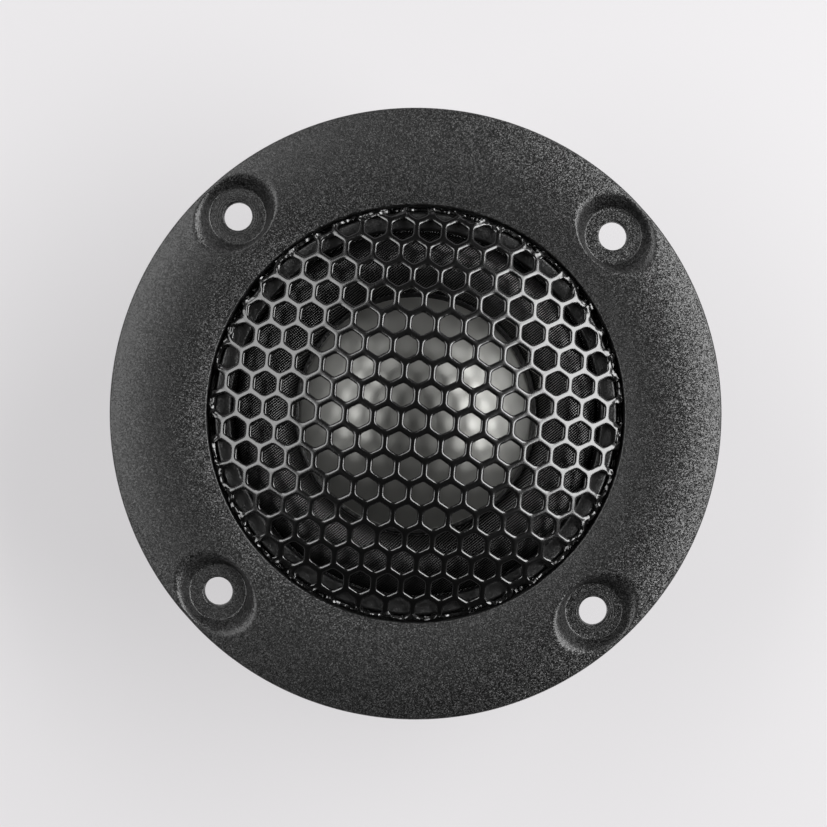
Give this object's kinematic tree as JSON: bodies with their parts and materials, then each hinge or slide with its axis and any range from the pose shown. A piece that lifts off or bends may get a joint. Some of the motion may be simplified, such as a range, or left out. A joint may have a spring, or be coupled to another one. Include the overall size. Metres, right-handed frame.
{
  "type": "car tweeter",
  "caption": "Round flush-mount dome tweeter: metal dome and woven surround under a perforated guard, crowned flange with recessed screw holes, sealed motor behind.",
  "frame": {"origin": "centre of the four mounting holes on the flange's back face, where it seats on the panel", "axes": "+Z is the listening axis, out of the front; -Y is the side with the terminals"},
  "size_m": [0.072, 0.072, 0.0334],
  "materials": {
    "black_blasted_aluminium": "satin, fine blasted grain, black anodised",
    "black_painted_steel": "semi-gloss black paint on perforated steel",
    "satin_black_abs": "smooth satin moulding",
    "satin_dome_metal": "satin rolled foil",
    "woven_cloth": "fine black plain weave, lightly coated",
    "adhesive": "clear-black cured adhesive",
    "coil_former_foil": "bright foil",
    "copper_wire": "enamelled copper, gloss",
    "tinsel_lead": "braided",
    "tinned_brass": "bright tinned",
    "black_zinc_steel": "black zinc plating, satin",
    "nickel_plating": "bright nickel",
    "copper_sheet": "bright drawn copper",
    "grey_felt": "pressed felt",
    "zinc_screw_steel": "zinc plated",
    "black_moulded_abs": "fine spark-eroded texture",
    "foam_rubber": "closed-cell foam",
    "white_wadding": "polyester fibre",
    "black_screw_steel": "black oxide",
    "terminal_laminate": "glass-epoxy laminate",
    "rivet_brass": "bright",
    "red_insulation": "extruded PVC",
    "black_insulation": "extruded PVC",
    "solder": "satin solder"
  },
  "bodies": {
    "chassis": {"faceplate": "black_blasted_aluminium", "front_grille": "black_painted_steel", "surround_clamp_ring": "satin_black_abs", "surround": "woven_cloth", "lead_wire_positive": "tinsel_lead", "lead_wire_negative": "tinsel_lead", "diaphragm_carrier_ring": "satin_black_abs", "lead_solder_tags": "tinned_brass", "top_plate": "black_zinc_steel", "ring_magnet": "nickel_plating", "yoke": "black_zinc_steel", "pole_copper_cap": "copper_sheet", "pole_felt_pad": "grey_felt", "vent_felt_plug": "grey_felt", "motor_screws": "zinc_screw_steel", "rear_chamber": "black_moulded_abs", "chamber_gasket": "foam_rubber", "chamber_wadding": "white_wadding", "chamber_screws": "black_screw_steel", "terminal_board": "terminal_laminate", "positive_terminal": "tinned_brass", "negative_terminal": "tinned_brass", "terminal_rivets": "rivet_brass", "internal_wire_positive": "red_insulation", "internal_wire_negative": "black_insulation", "terminal_solder_joints": "solder"},
    "diaphragm": {"dome": "satin_dome_metal", "dome_glue_bead": "adhesive", "voice_coil_former": "coil_former_foil", "voice_coil_winding": "copper_wire"}
  },
  "joints": [
    {"name": "diaphragm_travel", "type": "slide", "parent": "chassis", "child": "diaphragm", "axis": [0, 0, 1], "range_m": [-0.0005, 0.0005], "stiffness_N_per_m": 5800, "deforming": ["surround", "lead_wire_positive", "lead_wire_negative"]}
  ]
}
